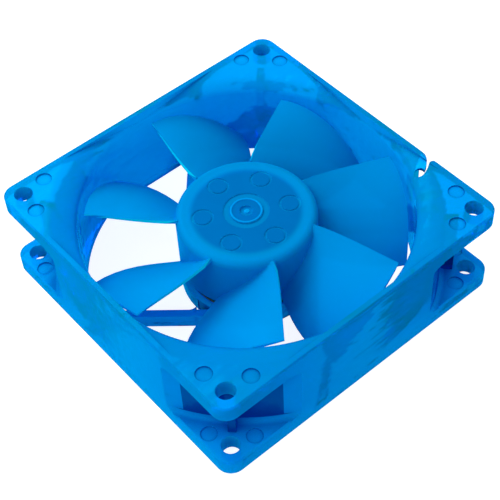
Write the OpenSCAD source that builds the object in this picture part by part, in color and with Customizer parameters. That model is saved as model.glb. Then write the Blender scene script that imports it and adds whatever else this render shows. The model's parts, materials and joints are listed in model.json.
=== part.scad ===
// Square axial cooling fan: one moulded frame with four swept struts, a seven-blade
// impeller, and an outer-rotor motor on a sleeve bearing.
// Origin: centre of the rear (exhaust) face. +Z is the shaft axis, towards the intake.

/* [Frame] */
// Side of the square frame
frame_side = 80; // [76:1:92]
// Depth of the frame from rear face to front face
frame_depth = 25; // [24:0.5:32]
// Thickness of each corner flange
flange_thick = 4.4; // [3:0.1:6]
// Radius of the frame's vertical corners
corner_r = 3.6; // [2:0.1:4.5]
// Bevel that breaks the outer edges of the flanges
edge_break = 0.35; // [0.1:0.05:0.8]
// Thinnest wall, at the middle of each side
side_wall = 1.5; // [1.2:0.1:2.5]
// Half width of the flat that the round shell leaves on each side
flat_half = 19.3; // [14:0.1:22]
// Radius that blends the shell into the flanges
shell_blend = 1.4; // [0.6:0.1:2]
// Thickness of the rib that stiffens each corner
gusset_thick = 1.8; // [1:0.1:3]
// Reach of the corner rib beyond the shell
gusset_reach = 3; // [1.5:0.1:3.6]

/* [Duct] */
// Gap between the flat of a mouth and the bore, at the middle of each side
bore_relief = 0.3; // [0.1:0.05:0.8]
// How far the front mouth opens beyond the bore
front_flare = 6.3; // [4:0.1:7]
// How far the rear mouth opens beyond the bore
rear_flare = 6.8; // [4:0.1:7]
// Depth of each flared mouth
flare_depth = 3.2; // [2:0.1:4]

/* [Screw holes] */
// Distance from a side to the nearest hole centre
hole_inset = 4.25; // [3.8:0.05:5]
// Diameter of the screw holes
hole_d = 4.3; // [3.5:0.1:5]

/* [Moulding marks] */
// Gap between an ejector mark and the rounded edge inside it
mark_gap = 0.6; // [0.4:0.1:1]
// Angle of each mark from the corner's diagonal
mark_offset = 5.8; // [5:0.1:7]
// Diameter of an ejector mark
mark_d = 3.8; // [2:0.1:4.2]
// Depth of an ejector mark
mark_depth = 0.3; // [0.1:0.05:0.6]

/* [Lead notch] */
// Distance from the middle of the side to the start of the tongue's curve
notch_y = 15; // [13:0.1:16]
// Radius of the tongue that keeps the leads in the notch
tongue_r = 5.2; // [4.4:0.1:6]
// Thickness of the tongue, measured from the front face
tongue_thick = 1.6; // [1.4:0.1:3]
// Width of the slit around the tongue
notch_slit = 0.45; // [0.3:0.05:0.8]
// Radius of the lip that faces the tongue
lip_r = 1.2; // [0.8:0.1:1.8]
// Diameter of the eye at the slit's inner end
eye_d = 2.4; // [1.8:0.1:2.8]
// Direction of the eye, seen from the middle of the tongue's curve
eye_angle = 83; // [75:1:90]
// Slant of the channel under the tongue from the side's normal
notch_slant = 30; // [15:1:40]
// Depth of the channel below the front face
notch_depth = 9.5; // [5:0.5:12]

/* [Struts] */
// Direction of the first strut's foot, seen from the rotor's axis
strut_angle = 228.6; // [220:0.1:235]
// Width of the three plain struts
strut_width = 2; // [1.6:0.1:3]
// Height of the struts
strut_height = 3.6; // [2.5:0.1:4]
// How far the struts' outer edge lies inside the motor base
strut_inset = 0.25; // [0.1:0.05:1]
// Radius of the fillet between a strut and the motor base
strut_fillet = 2; // [1:0.1:3]
// Width of the strut that carries the leads
lead_strut_width = 4.8; // [4.2:0.1:6]
// Width of the channel in the lead strut
lead_channel = 3; // [2:0.1:3.4]
// Thickness of the lead strut's skin over its channel
lead_skin = 1.1; // [0.8:0.1:1.5]

/* [Motor base] */
// Radius of the motor base
base_r = 16.3; // [15.8:0.1:18]
// Wall of the motor base's rim
base_wall = 1.5; // [1:0.1:2]
// Thickness of the motor base's floor
base_floor = 1.5; // [1.2:0.1:2]
// Depth of the shallow recess in the rear of the base
rear_recess = 0.4; // [0.2:0.05:0.8]
// Border left around the rear recess
recess_border = 1.3; // [0.8:0.1:3]
// Height of the ledge that the circuit board sits on
board_ledge = 1; // [0.6:0.1:1.6]
// Width of that ledge
ledge_width = 1.2; // [0.8:0.1:2]
// How far the base's rim stands above the circuit board
rim_lip = 0.1; // [0.05:0.05:0.5]
// Wall of the collar that holds the bearing tube
collar_wall = 1.2; // [0.8:0.1:1.6]
// Height of that collar above the floor
collar_height = 3; // [2:0.1:3.8]

/* [Bearing] */
// Diameter of the shaft
shaft_d = 3; // [2:0.1:3.4]
// Radial clearance between the shaft and its sleeve
running_gap = 0.03; // [0.02:0.01:0.08]
// Wall of the sleeve bearing
sleeve_wall = 1.7; // [1.2:0.1:2]
// Wall of the bearing tube
tube_wall = 1; // [0.6:0.1:1.2]
// Radial gap of the pieces that are pressed or glued together
press_gap = 0.02; // [0.01:0.01:0.04]
// Thickness of the plug that closes the tube
plug_thick = 1.6; // [1:0.1:2]
// Thickness of the thrust pad under the shaft
pad_thick = 0.8; // [0.5:0.1:1.2]
// Axial play between moving and fixed faces
axial_play = 0.1; // [0.05:0.05:0.2]
// Height of the retaining ring above the shaft's end
ring_rise = 1.5; // [1:0.1:2]
// Thickness of the retaining ring
ring_thick = 0.4; // [0.3:0.05:0.6]
// Depth of the shaft's groove for the retaining ring
groove_depth = 0.35; // [0.2:0.05:0.5]
// Space between the retaining ring and the sleeve
ring_space = 0.45; // [0.3:0.05:0.8]
// Thickness of the oil felt above the sleeve
felt_thick = 1.2; // [0.8:0.1:1.6]
// Thickness of the cap that closes the tube around the shaft
cap_thick = 0.7; // [0.5:0.1:1]
// Thickness of the wear washer between cap and rotor
washer_thick = 0.4; // [0.3:0.05:0.6]

/* [Stator] */
// Height of the tube above the stator stack
tube_rise = 1.3; // [0.8:0.1:2]
// Air gap between the poles and the magnet
air_gap = 0.35; // [0.25:0.05:0.5]
// Width of the neck of a pole
neck_width = 3; // [2.2:0.1:3.2]
// Thickness of a pole shoe
shoe_thick = 1.3; // [1:0.1:1.6]
// Gap between neighbouring pole shoes
shoe_gap = 3.2; // [2:0.1:4]
// Thickness of the ring that joins the poles
core_ring = 1.7; // [1.2:0.1:2]
// Thickness of one lamination
lamination = 0.5; // [0.35:0.05:1]
// Gap between laminations, filled by varnish
varnish = 0.02; // [0.01:0.01:0.04]
// Height of the coils beyond the stack, at each end
coil_over = 2.5; // [2:0.1:3]
// Space between the coils and the circuit board
board_clear = 4.2; // [3.9:0.1:5]
// Space between the coils and the yoke's plate
yoke_clear = 1.4; // [0.8:0.1:2]
// Thickness of the insulators' plates
insulator_thick = 0.8; // [0.5:0.1:1.2]
// How far the insulators stay inside the laminations
insulator_inset = 0.5; // [0.2:0.1:0.8]
// Thickness of the insulators' end walls
insulator_wall = 0.7; // [0.5:0.1:0.9]
// Thickness of a coil, across the wires
coil_build = 1.7; // [1:0.1:1.8]
// Gap between a coil and the neck that it is wound on
coil_fit = 0.3; // [0.1:0.05:0.4]
// How far the coils stay below the insulators' walls
coil_drop = 0.1; // [0.05:0.05:0.4]
// Radius of the coils' edges, as a share of their build
coil_round = 0.9; // [0.5:0.05:0.95]

/* [Terminals] */
// Number of terminal pins between the coils and the circuit board
pin_count = 3; // [2:1:4]
// Radius of a pin
pin_r = 0.35; // [0.25:0.05:0.4]
// Angle of each pin from the middle of its pole
pin_angle = 28; // [26:1:31]
// Length of a pin inside its socket
pin_grip = 1.5; // [0.8:0.1:2]
// Length of a pin behind the circuit board
pin_tail = 0.6; // [0.2:0.1:0.8]
// Wall of a socket
socket_wall = 0.5; // [0.3:0.05:0.6]

/* [Circuit board] */
// Thickness of the board
board_thick = 1; // [0.6:0.1:1.6]
// Gap between the board and the rim
board_gap = 0.2; // [0.1:0.05:0.4]
// Gap between the board and the bearing collar
board_hole_gap = 0.4; // [0.2:0.05:0.8]

/* [Rotor] */
// Radius of the hub
hub_r = 16.2; // [15.8:0.1:17]
// Wall of the hub's skirt
hub_wall = 1.1; // [0.9:0.1:1.4]
// Thickness of the hub's face
hub_face = 1.5; // [1.2:0.1:2]
// Radius that rounds the rim of the hub
hub_round = 1.8; // [1:0.1:2.2]
// Distance from the front face to the hub's face
front_set = 3.2; // [2:0.1:4]
// Distance from the motor base to the hub's skirt
skirt_gap = 3.3; // [2.8:0.1:4]
// Thickness of the steel yoke
yoke_thick = 0.8; // [0.6:0.1:1]
// Height of the yoke's edge above the skirt's edge
yoke_inset = 0.9; // [0.5:0.1:1.5]
// Thickness of the ring magnet
magnet_thick = 1.5; // [1:0.1:1.8]
// Height of the magnet's edge above the yoke's edge
magnet_inset = 0.4; // [0.2:0.1:1]
// Space between the magnet and the yoke's plate
magnet_headroom = 1.1; // [0.5:0.1:1.5]
// Radius of the brass boss under the yoke
boss_r = 3.4; // [3:0.1:3.8]
// Radius of the boss's neck, through the yoke
neck_r = 2.4; // [2.1:0.1:2.8]
// How far the neck enters the hub's face
neck_entry = 0.6; // [0.3:0.1:0.9]

/* [Hub face] */
// Number of round marks on the hub's face
face_marks = 6; // [3:1:8]
// Angle of the first mark
face_mark_angle = 30; // [0:1:59]
// Radius of the circle that carries the marks
face_mark_circle = 10; // [8.5:0.1:11]
// Diameter of a mark
face_mark_d = 5.1; // [3:0.1:5.4]
// Width of the groove that outlines a mark
face_groove = 0.55; // [0.3:0.05:0.8]
// Depth of the marks and rings
face_depth = 0.25; // [0.1:0.05:0.4]
// Outer diameter of the middle ring
ring_outer_d = 10.6; // [9:0.1:11]
// Outer diameter of the inner ring
ring_inner_d = 7.7; // [6:0.1:8.4]
// Diameter of the gate dimple in the middle
gate_d = 3.1; // [2:0.1:4]

/* [Blades] */
// Number of blades
blade_count = 7; // [5:1:7]
// Direction of the first blade's leading edge at the hub
blade_phase = 46.3; // [0:0.1:51]
// Gap between the blade tips and the bore
tip_gap = 1.4; // [1:0.1:2.5]
// Distance from the hub's face down to the leading edges
blade_drop = 0.4; // [0.2:0.1:1.5]
// Distance from the skirt's edge up to the trailing edges
blade_foot = 1.5; // [1:0.1:3]
// Angle that the leading edge falls back from hub to tip
lead_sweep = 10.1; // [0:0.1:20]
// Bulge of the leading edge along the blade
lead_bow = -1.3; // [-3:0.1:3]
// Angle that a blade spans at the hub
root_chord = 46.6; // [40:0.1:48]
// Angle that a blade spans at its tip
tip_chord = 35.5; // [30:0.1:42]
// Bulge of the trailing edge along the blade
trail_bow = 2.2; // [-3:0.1:3]
// Height of the tip's camber
tip_camber = 2.7; // [0:0.1:4]
// Thickness of a blade at the hub
root_thick = 1.4; // [1:0.05:2]
// Thickness of a blade at its tip
tip_thick = 0.95; // [0.7:0.05:1.4]

/* [Hidden] */

$fn = 96;
OVER = 1;                  // how far a cutting shape passes the face that it cuts
ARC_STEPS = 7;             // segments of a mouth's or fillet's rounded profile
CORNERS = [45, 135, 225, 315];
POLES = 4;                 // poles of the stator, each with a coil node of its own

// Frame, worked out
half_side = frame_side / 2;
bore_r = half_side - side_wall - bore_relief;
mouth_half = half_side - side_wall;
shell_r = sqrt(pow(half_side, 2) + pow(flat_half, 2));
hole_at = half_side - hole_inset;
front_flange_z = frame_depth - flange_thick;

// Motor base, worked out
floor_top = rear_recess + base_floor;
board_low = floor_top + board_ledge;
board_top = board_low + board_thick;
base_top = board_top + rim_lip;
cup_r = base_r - base_wall;
board_r = cup_r - board_gap;
strut_out = base_r - strut_inset;

// Bearing, worked out from the shaft outwards and from the rear upwards
shaft_r = shaft_d / 2;
sleeve_bore_r = shaft_r + running_gap;
sleeve_r = sleeve_bore_r + sleeve_wall;
tube_in_r = sleeve_r + press_gap;
tube_r = tube_in_r + tube_wall;
collar_r = tube_r + press_gap + collar_wall;
pad_top = rear_recess + plug_thick + pad_thick;
shaft_low = pad_top + axial_play;
ring_low = shaft_low + ring_rise;
sleeve_low = ring_low + ring_thick + ring_space;

// Rotor, worked out from the front face backwards
hub_top = frame_depth - front_set;
hub_low = base_top + skirt_gap;
plate_top = hub_top - hub_face;
plate_low = plate_top - yoke_thick;
yoke_low = hub_low + yoke_inset;
magnet_low = yoke_low + magnet_inset;
magnet_top = plate_low - magnet_headroom;
yoke_r = hub_r - hub_wall - press_gap;
magnet_r = yoke_r - yoke_thick - press_gap;
magnet_in_r = magnet_r - magnet_thick;

// Stator, worked out between the circuit board and the yoke's plate
stator_r = magnet_in_r - air_gap;
stack_low = board_top + board_clear + coil_over;
stack_space = plate_low - yoke_clear - coil_over - stack_low;
lamination_count = floor((stack_space + varnish) / (lamination + varnish));
stack_h = lamination_count * (lamination + varnish) - varnish;
stack_top = stack_low + stack_h;
shoe_in_r = stator_r - shoe_thick;
core_in_r = tube_r + press_gap;
core_r = core_in_r + core_ring;
tube_top = stack_top + tube_rise;
socket_r = pin_r + press_gap + socket_wall;
insulator_r = stator_r - insulator_inset;
pin_at = insulator_r - socket_r;
cap_low = tube_top - cap_thick;
felt_low = cap_low - felt_thick;
washer_low = tube_top + axial_play;
boss_low = washer_low + washer_thick;
shaft_top = plate_top + neck_entry;

// Blades, worked out
tip_r = bore_r - tip_gap;
BLADE_ROWS = 8;            // strips from hub to tip
BLADE_STEPS = 12;          // strips from leading to trailing edge
ROOT_SINK = 0.5;           // how far a blade enters the hub's wall
EDGE_SHARE = 0.5;          // share of the thickness left at a blade's edges

// Colours
BLUE_FRAME = [0.05, 0.50, 0.88];
BLUE_ROTOR = [0.02, 0.55, 0.90];
NYLON = [0.93, 0.93, 0.90];
BRASS = [0.80, 0.66, 0.35];
BLACK = [0.09, 0.09, 0.10];

// ---- small helpers ----

function polar(r, a) = [r * cos(a), r * sin(a)];

// Arc points around a centre, from one angle to another
function arc(centre, r, from, to, steps) =
    [for (i = [0 : steps]) centre + polar(r, from + (to - from) * i / steps)];

module ring(outer, inner, z, h) {
    translate([0, 0, z])
        difference() {
            cylinder(r = outer, h = h);
            translate([0, 0, -OVER])
                cylinder(r = inner, h = h + 2 * OVER);
        }
}

module disc(r, z, h) {
    translate([0, 0, z])
        cylinder(r = r, h = h);
}

// Right half of a plate's cross-section, with both outer edges bevelled
function bevelled_half(reach, h, c) =
    [[0, 0], [reach - c, 0], [reach, c], [reach, h - c], [reach - c, h], [0, h]];

// Square flange with rounded corners: two crossed bars and a turned disc at each corner
module flange(z) {
    inner = half_side - corner_r;
    translate([0, 0, z]) {
        for (a = [0 : 90 : 270])
            rotate([0, 0, a])
                translate([0, inner, 0])
                    rotate([90, 0, 0])
                        linear_extrude(2 * inner)
                            polygon(bevelled_half(half_side, flange_thick, edge_break));
        for (a = CORNERS)
            translate([sign(cos(a)) * inner, sign(sin(a)) * inner, 0])
                rotate_extrude()
                    polygon(bevelled_half(corner_r, flange_thick, edge_break));
    }
}

module square_prism(half, z, h) {
    translate([-half, -half, z])
        cube([2 * half, 2 * half, h]);
}

// ---- frame ----

// Rounded mouth: the radius grows from the bore to the face, on part of an ellipse
module mouth(flare) {
    swing = 72;            // degrees of the ellipse that are used
    profile = [for (i = [0 : ARC_STEPS])
        let (a = swing * i / ARC_STEPS)
        [bore_r + flare * (1 - cos(a)) / (1 - cos(swing)),
            flare_depth * (sin(a) / sin(swing) - 1)]];
    intersection() {
        rotate_extrude()
            polygon(concat([[0, -flare_depth]], profile,
                [[bore_r + flare, OVER], [0, OVER]]));
        square_prism(mouth_half, -flare_depth, flare_depth + OVER);
    }
}

// Hollow fillet around the shell, standing on a flange at z = 0
module shell_fillet() {
    profile = concat([[shell_r - OVER, -OVER], [shell_r + shell_blend, -OVER]],
        arc([shell_r + shell_blend, shell_blend], shell_blend, 270, 180, ARC_STEPS),
        [[shell_r - OVER, shell_blend]]);
    intersection() {
        rotate_extrude()
            polygon(profile);
        square_prism(half_side, -OVER, shell_blend + OVER);
    }
}

module gusset(a) {
    rotate([0, 0, a])
        translate([bore_r + OVER, -gusset_thick / 2, flange_thick - OVER])
            cube([shell_r - bore_r - OVER + gusset_reach, gusset_thick,
                front_flange_z - flange_thick + 2 * OVER]);
}

// Plan of the opening around the tongue, from the middle of the tongue's curve: the slit
// follows the curve from the eye to the lip, and the mouth opens from there to the side
module slit_plan() {
    slit_r = tongue_r + notch_slit;
    lip_x = tongue_r - lip_r;
    lip = [lip_x, -sqrt(pow(slit_r + lip_r, 2) - pow(lip_x, 2))];
    difference() {
        union() {
            intersection() {
                circle(r = slit_r);
                polygon([[0, 0], polar(2 * slit_r, -eye_angle), 2 * lip]);
            }
            polygon([[0, 0], lip, [tongue_r + OVER, lip[1]], [tongue_r + OVER, 0]]);
        }
        circle(r = tongue_r);
        translate(lip)
            circle(r = lip_r);
    }
}

// Notch for the leads: they drop through the slit into the eye and leave by the channel
module lead_notch() {
    low = frame_depth - notch_depth;
    eye = polar(tongue_r + notch_slit - eye_d / 2, -eye_angle);
    translate([half_side - tongue_r, -notch_y, low]) {
        linear_extrude(notch_depth + OVER)
            translate(eye)
                circle(d = eye_d);
        translate(eye)
            rotate([0, 0, notch_slant])
                translate([0, -eye_d / 2, 0])
                    cube([2 * tongue_r, eye_d, notch_depth - tongue_thick]);
        translate([0, 0, notch_depth - tongue_thick - OVER])
            linear_extrude(tongue_thick + 2 * OVER)
                slit_plan();
    }
}

// Ejector marks beside each screw hole, sunk into the plane at z outside the given radius
module flange_marks(z, inside_r) {
    for (a = CORNERS, s = [-1, 1])
        rotate([0, 0, a + s * mark_offset])
            translate([inside_r + mark_gap + mark_d / 2, 0, z - mark_depth])
                cylinder(d = mark_d, h = mark_depth + OVER);
}

// A strut lies beside the axis, so that it leaves the base nearly along its rim
module strut(a, width) {
    reach = sqrt(pow(shell_r - side_wall / 2, 2) - pow(strut_out, 2));
    rotate([0, 0, a])
        translate([strut_out - width, -reach, 0])
            cube([width, reach, strut_height]);
}

// Fillet in the acute corner between a strut's inner edge and the base
module strut_root(a, width) {
    edge = strut_out - width;
    centre_x = edge - strut_fillet;
    centre_y = -sqrt(pow(base_r + strut_fillet, 2) - pow(centre_x, 2));
    on_base = [centre_x, centre_y] * base_r / (base_r + strut_fillet);
    rotate([0, 0, a])
        difference() {
            linear_extrude(strut_height)
                polygon([[edge, centre_y], [edge + width / 2, centre_y],
                    [edge + width / 2, on_base[1]], on_base * 0.95, on_base]);
            translate([centre_x, centre_y, -OVER])
                cylinder(r = strut_fillet, h = strut_height + 2 * OVER);
        }
}

module struts() {
    intersection() {
        for (i = [0 : 3])
            strut(strut_angle + 90 * i, i == 2 ? lead_strut_width : strut_width);
        square_prism(half_side - side_wall / 2, 0, strut_height);
    }
    for (i = [0 : 3])
        strut_root(strut_angle + 90 * i, i == 2 ? lead_strut_width : strut_width);
}

// Channel for the leads, open to the rear, from the base's cup to the frame's side
module lead_channel_cut() {
    rotate([0, 0, strut_angle + 180])
        translate([strut_out - (lead_strut_width + lead_channel) / 2, -shell_r - OVER, -OVER])
            cube([lead_channel, shell_r + OVER, strut_height - lead_skin + OVER]);
}

// Outside of the frame: two flanges joined by a shell that the square cuts flat at each side
module housing() {
    flange(0);
    flange(front_flange_z);
    intersection() {
        disc(shell_r, edge_break, frame_depth - 2 * edge_break);
        square_prism(half_side, 0, frame_depth);
    }
    translate([0, 0, flange_thick])
        shell_fillet();
    translate([0, 0, front_flange_z])
        mirror([0, 0, 1])
            shell_fillet();
    for (a = CORNERS)
        gusset(a);
}

// Way of the air: the round bore with a flared mouth at each end
module duct() {
    disc(bore_r, -OVER, frame_depth + 2 * OVER);
    translate([0, 0, frame_depth])
        mouth(front_flare);
    mirror([0, 0, 1])
        mouth(rear_flare);
}

// Hollows of the motor base: rear recess, cup, ledge for the board, and the tube's hole
module base_hollow() {
    disc(base_r - recess_border, -OVER, rear_recess + OVER);
    disc(cup_r, board_low, base_top);
    disc(cup_r - ledge_width, floor_top, base_top);
    disc(core_in_r, -OVER, base_top);
}

module screw_holes() {
    for (x = [-hole_at, hole_at], y = [-hole_at, hole_at])
        translate([x, y, -OVER])
            cylinder(d = hole_d, h = frame_depth + 2 * OVER);
}

module frame() {
    color(BLUE_FRAME) {
        difference() {
            union() {
                difference() {
                    housing();
                    duct();
                }
                struts();
                disc(base_r, 0, base_top);
            }
            base_hollow();
            lead_channel_cut();
            lead_notch();
            flange_marks(frame_depth, bore_r + front_flare);
            flange_marks(flange_thick, shell_r + shell_blend);
            screw_holes();
        }
        ring(collar_r, core_in_r, rear_recess, base_floor + collar_height);
    }
}

// ---- bearing ----

module bearing_tube() {
    color(BRASS)
        ring(tube_r, tube_in_r, rear_recess, tube_top - rear_recess);
}

module sleeve_bearing() {
    chamfer = 0.3;
    top = felt_low;
    color([0.62, 0.45, 0.25])
        rotate_extrude()
            polygon([[sleeve_bore_r, sleeve_low + chamfer], [sleeve_bore_r + chamfer, sleeve_low],
                [sleeve_r - chamfer, sleeve_low], [sleeve_r, sleeve_low + chamfer],
                [sleeve_r, top - chamfer], [sleeve_r - chamfer, top],
                [sleeve_bore_r + chamfer, top], [sleeve_bore_r, top - chamfer]]);
}

module bearing_plug() {
    color(BLACK)
        disc(sleeve_r, rear_recess, plug_thick);
}

module thrust_pad() {
    color([0.92, 0.90, 0.82])
        disc(sleeve_r, rear_recess + plug_thick, pad_thick);
}

module oil_felt() {
    felt_clear = 0.35;
    color([0.75, 0.70, 0.60])
        ring(sleeve_r, shaft_r + felt_clear, felt_low, felt_thick);
}

module tube_cap() {
    cap_clear = 0.3;
    color([0.92, 0.92, 0.88])
        ring(sleeve_r, shaft_r + cap_clear, cap_low, cap_thick);
}

// ---- stator ----

// Plan of the pole shoes, as arcs of a ring that follows the magnet
module shoe_plan(outer, thick, gap) {
    half_shoe = 180 / POLES - asin(gap / 2 / outer);
    for (i = [0 : POLES - 1])
        rotate(360 * i / POLES)
            intersection() {
                difference() {
                    circle(r = outer);
                    circle(r = outer - thick);
                }
                polygon([[0, 0], polar(2 * outer, -half_shoe), polar(2 * outer, half_shoe)]);
            }
}

// Plan of the whole stator: a middle ring, a neck for each pole, and the shoes
module pole_plan(outer, thick, gap) {
    difference() {
        union() {
            circle(r = core_r);
            for (i = [0 : POLES - 1])
                rotate(360 * i / POLES)
                    translate([0, -neck_width / 2])
                        square([outer - thick / 2, neck_width]);
        }
        circle(r = core_in_r);
    }
    shoe_plan(outer, thick, gap);
}

module stator_core() {
    color([0.55, 0.56, 0.58])
        for (i = [0 : lamination_count - 1])
            translate([0, 0, stack_low + i * (lamination + varnish)])
                linear_extrude(lamination)
                    pole_plan(stator_r, shoe_thick, shoe_gap);
}

// One end insulator, drawn for the front: a plate with a collar and walls that hold the coils
module insulator() {
    gap = shoe_gap + 2 * insulator_inset;
    linear_extrude(insulator_thick)
        pole_plan(insulator_r, shoe_thick - insulator_inset, gap);
    linear_extrude(coil_over)
        shoe_plan(insulator_r, insulator_wall, gap);
    ring(core_in_r + insulator_wall, core_in_r, 0, coil_over / 2);
}

module insulator_front() {
    color(NYLON)
        translate([0, 0, stack_top])
            insulator();
}

// Each terminal pin stands in a socket on the wall of the rear insulator
module insulator_rear() {
    color(NYLON)
        difference() {
            union() {
                translate([0, 0, stack_low])
                    mirror([0, 0, 1])
                        insulator();
                at_pins()
                    disc(socket_r, stack_low - coil_over, coil_over);
            }
            at_pins()
                disc(pin_r + press_gap, stack_low - coil_over - OVER, pin_grip + OVER);
        }
}

module at_pins() {
    for (i = [0 : pin_count - 1])
        rotate([0, 0, 360 * i / POLES + pin_angle])
            translate([pin_at, 0, 0])
                children();
}

module rounded_bar(w, h, r, length) {
    translate([0, -w / 2, -h / 2 + r])
        cube([length, w, h - 2 * r]);
    translate([0, -w / 2 + r, -h / 2])
        cube([length, w - 2 * r, h]);
    for (y = [-1, 1], z = [-1, 1])
        translate([0, y * (w / 2 - r), z * (h / 2 - r)])
            rotate([0, 90, 0])
                cylinder(r = r, h = length);
}

// A coil fills the pole's neck between the core ring and the shoe, whose face is curved
module coil(index) {
    inner_w = neck_width + 2 * coil_fit;
    inner_h = stack_h + 2 * insulator_thick + 2 * press_gap;
    outer_w = inner_w + 2 * coil_build;
    outer_h = stack_h + 2 * (coil_over - coil_drop);
    edge_r = coil_build * coil_round;
    from = max(core_r + coil_fit, outer_w / 2 / tan(180 / POLES) + coil_fit);
    face_r = min(shoe_in_r, insulator_r - insulator_wall);
    length = sqrt(pow(face_r, 2) - pow(outer_w / 2, 2)) - coil_fit - from;
    color([0.78, 0.42, 0.16])
        rotate([0, 0, 360 * index / POLES])
            translate([from, 0, (stack_low + stack_top) / 2])
                difference() {
                    rounded_bar(outer_w, outer_h, edge_r, length);
                    translate([-OVER, -inner_w / 2, -inner_h / 2])
                        cube([length + 2 * OVER, inner_w, inner_h]);
                }
}

module coil_a() { coil(0); }
module coil_b() { coil(1); }
module coil_c() { coil(2); }
module coil_d() { coil(3); }

// ---- circuit board and its parts ----

module circuit_board() {
    color([0.10, 0.42, 0.20])
        difference() {
            ring(board_r, collar_r + board_hole_gap, board_low, board_thick);
            at_pins()
                disc(pin_r + press_gap, board_low - OVER, board_thick + 2 * OVER);
        }
}

module terminal_pins() {
    low = board_low - pin_tail;
    color([0.83, 0.80, 0.72])
        at_pins()
            disc(pin_r, low, stack_low - coil_over + pin_grip - low);
}

// Sensor between two poles, close under the magnet
module hall_sensor() {
    body = [1.5, 4.1, 2.6];
    lead = 0.4;
    pitch = 1.27;
    stand = 1;
    color(BLACK)
        rotate([0, 0, 180 / POLES + 180])
            translate([magnet_in_r - lead, 0, board_top]) {
                translate([-body[0] / 2, -body[1] / 2, stand])
                    cube(body);
                for (i = [-1 : 1])
                    translate([-lead / 2, i * pitch - lead / 2, 0])
                        cube([lead, lead, stand + lead]);
            }
}

// Flat package with two rows of bent leads
module driver_chip() {
    body = [3.9, 4.9, 1.4];
    stand = 0.2;
    lead_w = 0.42;
    lead_out = 1.05;
    lead_t = 0.22;
    pitch = 1.27;
    color(BLACK)
        rotate([0, 0, 270])
            translate([(board_r + collar_r) / 2, 0, board_top]) {
                translate([-body[0] / 2, -body[1] / 2, stand])
                    cube(body);
                for (side = [-1, 1], i = [-1.5 : 1.5])
                    translate([0, i * pitch - lead_w / 2, 0])
                        mirror([side < 0 ? 1 : 0, 0, 0]) {
                            translate([body[0] / 2 - lead_t, 0, body[2] / 2])
                                cube([lead_t + lead_out / 2, lead_w, lead_t]);
                            translate([body[0] / 2 + lead_out / 2 - lead_t, 0, 0])
                                cube([lead_t, lead_w, body[2] / 2 + lead_t]);
                            translate([body[0] / 2 + lead_out / 2 - lead_t, 0, 0])
                                cube([lead_out / 2 + lead_t, lead_w, lead_t]);
                        }
            }
}

module filter_capacitor() {
    can_r = 2;
    can_h = 3.2;
    foot = 0.5;
    foot_border = 0.1;
    color([0.80, 0.81, 0.83])
        rotate([0, 0, 180 / POLES + 90])
            translate([board_r - can_r - foot, 0, board_top]) {
                translate([-can_r, -can_r, 0])
                    cube([2 * can_r, 2 * can_r, foot]);
                translate([0, 0, foot])
                    cylinder(r = can_r - foot_border, h = can_h - foot);
            }
}

module blocking_diode() {
    body_r = 0.8;
    glass_r = 0.72;
    length = 3.4;
    cap = 0.5;
    color([0.65, 0.20, 0.12])
        rotate([0, 0, 90])
            translate([(board_r + collar_r) / 2 + OVER, -length / 2, board_top + body_r])
                rotate([-90, 0, 0]) {
                    cylinder(r = glass_r, h = length);
                    cylinder(r = body_r, h = cap);
                    translate([0, 0, length - cap])
                        cylinder(r = body_r, h = cap);
                }
}

module chip_resistors() {
    size = [2, 1.25, 0.5];
    apart = 18;            // degrees between the two
    color([0.12, 0.12, 0.13])
        for (side = [-1, 1])
            rotate([0, 0, 180 + side * apart / 2])
                translate([(board_r + collar_r) / 2, -size[1] / 2, board_top])
                    cube(size);
}

// Solder pads where the two leads would be fixed, beside the lead strut
module lead_pads() {
    pad_r = 0.8;
    pad_h = 0.5;
    middle = 10;           // direction of the space between the two pads
    apart = 18;            // degrees between the two
    color([0.80, 0.80, 0.82])
        for (side = [-1, 1])
            rotate([0, 0, middle + side * apart / 2])
                translate([board_r - 2 * pad_r, 0, board_top])
                    cylinder(r = pad_r, h = pad_h);
}

// ---- rotor ----

// Outline of the hub: a cup with a rounded rim, turned around the shaft
module hub_cup() {
    inner = hub_r - hub_wall;
    rotate_extrude()
        polygon(concat([[0, plate_top], [inner, plate_top], [inner, hub_low], [hub_r, hub_low]],
            arc([hub_r - hub_round, hub_top - hub_round], hub_round, 0, 90, ARC_STEPS),
            [[0, hub_top]]));
}

// Marks of the mould on the hub's face: ring outlines and the gate in the middle
module hub_marks() {
    z = hub_top - face_depth;
    for (i = [0 : face_marks - 1])
        rotate([0, 0, face_mark_angle + 360 * i / face_marks])
            translate([face_mark_circle, 0, 0])
                ring(face_mark_d / 2, face_mark_d / 2 - face_groove, z, face_depth + OVER);
    ring(ring_outer_d / 2, ring_inner_d / 2, z, face_depth + OVER);
    disc(gate_d / 2, hub_top - 2 * face_depth, 2 * face_depth + OVER);
}

// Blade surface: u runs from hub (0) to tip (1), s from leading (0) to trailing edge (1)
function bulge(t) = 4 * t * (1 - t);
function lead_angle(u) = blade_phase - lead_sweep * u + lead_bow * bulge(u);
function chord_angle(u) = root_chord + (tip_chord - root_chord) * u + trail_bow * bulge(u);
blade_top = hub_top - blade_drop;
blade_low = hub_low + blade_foot;
function mid_angle(u, s) = lead_angle(u) - chord_angle(u) * s;
function mid_height(u, s) = blade_top + (blade_low - blade_top) * s + tip_camber * u * bulge(s);
function mid_slope(u, s) = blade_low - blade_top + tip_camber * u * 4 * (1 - 2 * s);
function thickness(u, s) = (root_thick + (tip_thick - root_thick) * u)
    * (EDGE_SHARE + (1 - EDGE_SHARE) * sqrt(sin(180 * s)));

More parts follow.
